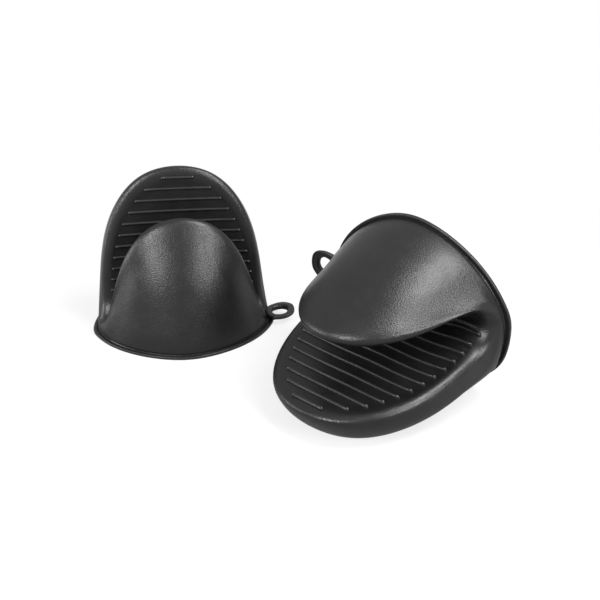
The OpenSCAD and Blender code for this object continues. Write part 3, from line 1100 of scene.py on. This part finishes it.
        def shape(u: Points, v: Points) -> Points:
            """Wraps the grid round the ring."""
            turn, around = 2 * math.pi * u, 2 * math.pi * v
            c, s = np.cos(around), np.sin(around)
            wide = np.sign(c) * np.abs(c) ** self.loop_power
            high = np.sign(s) * np.abs(s) ** self.loop_power
            radius = middle + reach * wide
            root = np.clip(-np.cos(turn) - 0.35, 0, 1)
            side = radius * np.sin(turn) * (1 + self.loop_flare * root)
            out = x + radius * np.cos(turn)
            lift = self.loop_lift * np.clip(out - self.loop_root, 0, None)
            thick = half * high * (1 + self.loop_thicker * root)
            return self.placement.put(np.stack([out, y + side, z + lift + thick], 1))

        piece = wrapped_grid(self.node("moulded_loop"), 96, 24, shape)
        dress(piece, material)
        self.placement.spot(55.0, y, z)
        self.placement.spot(58.5, y, z)
        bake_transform(piece)
        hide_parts(self.node("hanging_loop"))
        return piece

    def build(self, skin: bpy.types.Material, ribs: bpy.types.Material, edge: bpy.types.Material) -> None:
        """Makes every piece of the mitt and reports each.

        Args:
            skin: Finish of the wall.
            ribs: Finish of the grip bars.
            edge: Finish of the rim and the loop.
        """
        pieces = [self.wall(skin), self.rim(edge), self.loop(edge)]
        for bars, part, body in ((FINGER_BARS, "finger_ribs", "fingers"),
                                 (THUMB_BARS, "thumb_ribs", "thumb")):
            pieces.append(bars.build(self.node(part), self.form, self.placement, ribs, self.body(body)))
        for piece in pieces:
            LOG.info("%s: %d faces", piece.name, len(piece.data.polygons))


@dataclass(frozen=True)
class Lamp:
    """One soft round lamp.

    Attributes:
        side: Distance to the right of the middle, seen from the camera, in metres.
        ahead: Distance beyond the middle, seen from the camera, in metres.
        up: Height above the floor in metres.
        size: Width of its face in metres.
        power: Its power in watts.
    """

    name: str
    side: float
    ahead: float
    up: float
    size: float
    power: float


@dataclass
class Studio:
    """Floor, soft lamps, pale surroundings and the camera.

    Attributes:
        roll: Turn of the picture in radians.
        focal: Focal length in picture widths.
        aim: Height at which the lamps point, in metres.
        floor_tone: How pale the floor is under the lamps, linear.
        floor_glow: Light of the floor's own near the mitts, for the mitts and for the camera.
        floor_fade: Distances from the middle between which the floor fades to plain white, in metres.
        sky_heights: Heights on the unit sky between which its light grows.
        sky_light: Its light at those heights.
    """

    eye: tuple[float, float, float] = (0.28003, -0.28157, 0.21776)
    gaze: tuple[float, float, float] = (-0.61220, 0.67442, -0.41276)
    roll: float = 0.0153
    focal: float = 748.4 / 600.0
    sensor: float = 36.0
    lamps: tuple[Lamp, ...] = (Lamp("lamp_left", -0.62, -0.86, 0.6, 0.5, 12.0),
                               Lamp("lamp_right", 0.8, -0.76, 0.58, 0.5, 11.0),
                               Lamp("lamp_top", 0.56, -0.24, 0.98, 0.5, 11.5),
                               Lamp("lamp_far_left", -1.15, -0.1, 0.22, 0.5, 5.0))
    aim: float = 0.04
    floor_tone: float = 0.18
    floor_glow: tuple[float, float] = (0.2, 0.73)
    floor_fade: tuple[float, float] = (0.13, 0.4)
    sky_heights: tuple[float, float] = (-0.2, 0.9)
    sky_light: tuple[float, float] = (0.3, 0.75)

    def camera(self) -> None:
        """Adds the camera at its place and turn."""
        bpy.ops.object.camera_add()
        camera = bpy.context.active_object
        forward = Vector(self.gaze).normalized()
        right = forward.cross(Vector((0, 0, 1))).normalized()
        up = right.cross(forward)
        c, s = math.cos(self.roll), math.sin(self.roll)
        right, up = right * c + up * s, up * c - right * s
        turn = Matrix((right, up, -forward)).transposed().to_4x4()
        camera.matrix_world = Matrix.Translation(Vector(self.eye)) @ turn
        camera.data.sensor_width = self.sensor
        camera.data.lens = self.sensor * self.focal
        camera.data.clip_start = 0.01
        camera.data.clip_end = 20.0
        bpy.context.scene.camera = camera

    def floor(self) -> None:
        """Adds the pale floor that keeps the shadows."""
        bpy.ops.object.select_all(action="DESELECT")
        bpy.ops.mesh.primitive_plane_add(size=8.0, location=(0, 0, -0.00005))
        floor = bpy.context.active_object
        floor.name = "floor"
        material = bpy.data.materials.new("pale_floor")
        material.use_nodes = True
        bench = NodeBench(material.node_tree)
        nodes, links = bench.nodes, bench.links
        shader = nodes["Principled BSDF"]
        shader.inputs["Base Color"].default_value = (*(self.floor_tone,) * 3, 1)
        shader.inputs["Roughness"].default_value = 0.6
        shader.inputs["Specular IOR Level"].default_value = 0.0
        seen = nodes.new("ShaderNodeLightPath").outputs["Is Camera Ray"]
        glow = nodes.new("ShaderNodeEmission")
        links.new(bench.ranged(seen, (0.0, 1.0), self.floor_glow), glow.inputs["Strength"])
        near = nodes.new("ShaderNodeAddShader")
        links.new(shader.outputs[0], near.inputs[0])
        links.new(glow.outputs[0], near.inputs[1])
        far = nodes.new("ShaderNodeEmission")
        far.inputs["Color"].default_value = (1, 1, 1, 1)
        far.inputs["Strength"].default_value = 1.0
        reach = nodes.new("ShaderNodeVectorMath")
        reach.operation = "LENGTH"
        links.new(bench.coordinates, reach.inputs[0])
        fade = bench.ranged(reach.outputs["Value"], self.floor_fade, (0.0, 1.0), "SMOOTHSTEP")
        total = nodes.new("ShaderNodeMixShader")
        links.new(fade, total.inputs["Fac"])
        links.new(near.outputs[0], total.inputs[1])
        links.new(far.outputs[0], total.inputs[2])
        links.new(total.outputs[0], nodes["Material Output"].inputs["Surface"])
        floor.data.materials.append(material)

    def world(self) -> None:
        """Sets the pale surroundings, plain white to the camera."""
        world = bpy.data.worlds.new("surroundings")
        bpy.context.scene.world = world
        world.use_nodes = True
        bench = NodeBench(world.node_tree, "Generated")
        sky = bench.nodes["Background"]
        sky.inputs["Color"].default_value = (1, 1, 1, 1)
        axes = bench.nodes.new("ShaderNodeSeparateXYZ")
        bench.links.new(bench.coordinates, axes.inputs[0])
        light = bench.ranged(axes.outputs["Z"], self.sky_heights, self.sky_light)
        seen = bench.nodes.new("ShaderNodeLightPath").outputs["Is Camera Ray"]
        bench.links.new(bench.arithmetic("MAXIMUM", seen, light), sky.inputs["Strength"])

    def light(self, lamp: Lamp) -> None:
        """Adds one lamp, facing the mitts.

        Args:
            lamp: The lamp.
        """
        forward = Vector((self.gaze[0], self.gaze[1], 0)).normalized()
        right = forward.cross(Vector((0, 0, 1))).normalized()
        place = right * lamp.side + forward * lamp.ahead + Vector((0, 0, lamp.up))
        bpy.ops.object.light_add(type="AREA", location=place)
        light = bpy.context.active_object
        light.name = lamp.name
        light.data.shape = "DISK"
        light.data.size = lamp.size
        light.data.energy = lamp.power
        light.rotation_euler = (Vector((0, 0, self.aim)) - place).to_track_quat("-Z", "Y").to_euler()

    def build(self) -> None:
        """Sets up the whole studio."""
        bpy.context.scene.view_settings.view_transform = "Standard"
        self.floor()
        self.world()
        for lamp in self.lamps:
            self.light(lamp)
        self.camera()


LYING_PITCH = 13.2
STANDING_PLACEMENT = Placement(0, 53.4, (-71.8, -5.5, 0))


def lying_placement(form: MittForm) -> Placement:
    """Lays a mitt on the back of its fingers and on its rim.

    Args:
        form: Sizes of the mitt.

    Returns:
        Where the lying mitt lies.
    """
    rim_edge = 0.5
    pitch = math.radians(LYING_PITCH)
    back = float(form.skin(np.array([6.0]), np.array([0.0]))[0, 1]) + form.rim_out
    height = back * math.cos(pitch) + (form.rim_height - rim_edge) * math.sin(pitch)
    return Placement(-90 - LYING_PITCH, 180, (70.3, 47.5, height), Easing(far_sag=5.0))


def main() -> None:
    """Builds both mitts and the studio."""
    logging.basicConfig(level=logging.INFO, format="%(message)s")
    skin, ribs, edge = SKIN_FINISH.material(), RIB_FINISH.material(), RIM_FINISH.material()
    Moulding(Mitt.STANDING, STANDING_PLACEMENT).build(skin, ribs, edge)
    Moulding(Mitt.LYING, lying_placement(MittForm())).build(skin, ribs, edge)
    Studio().build()


if __name__ == "__main__":
    main()
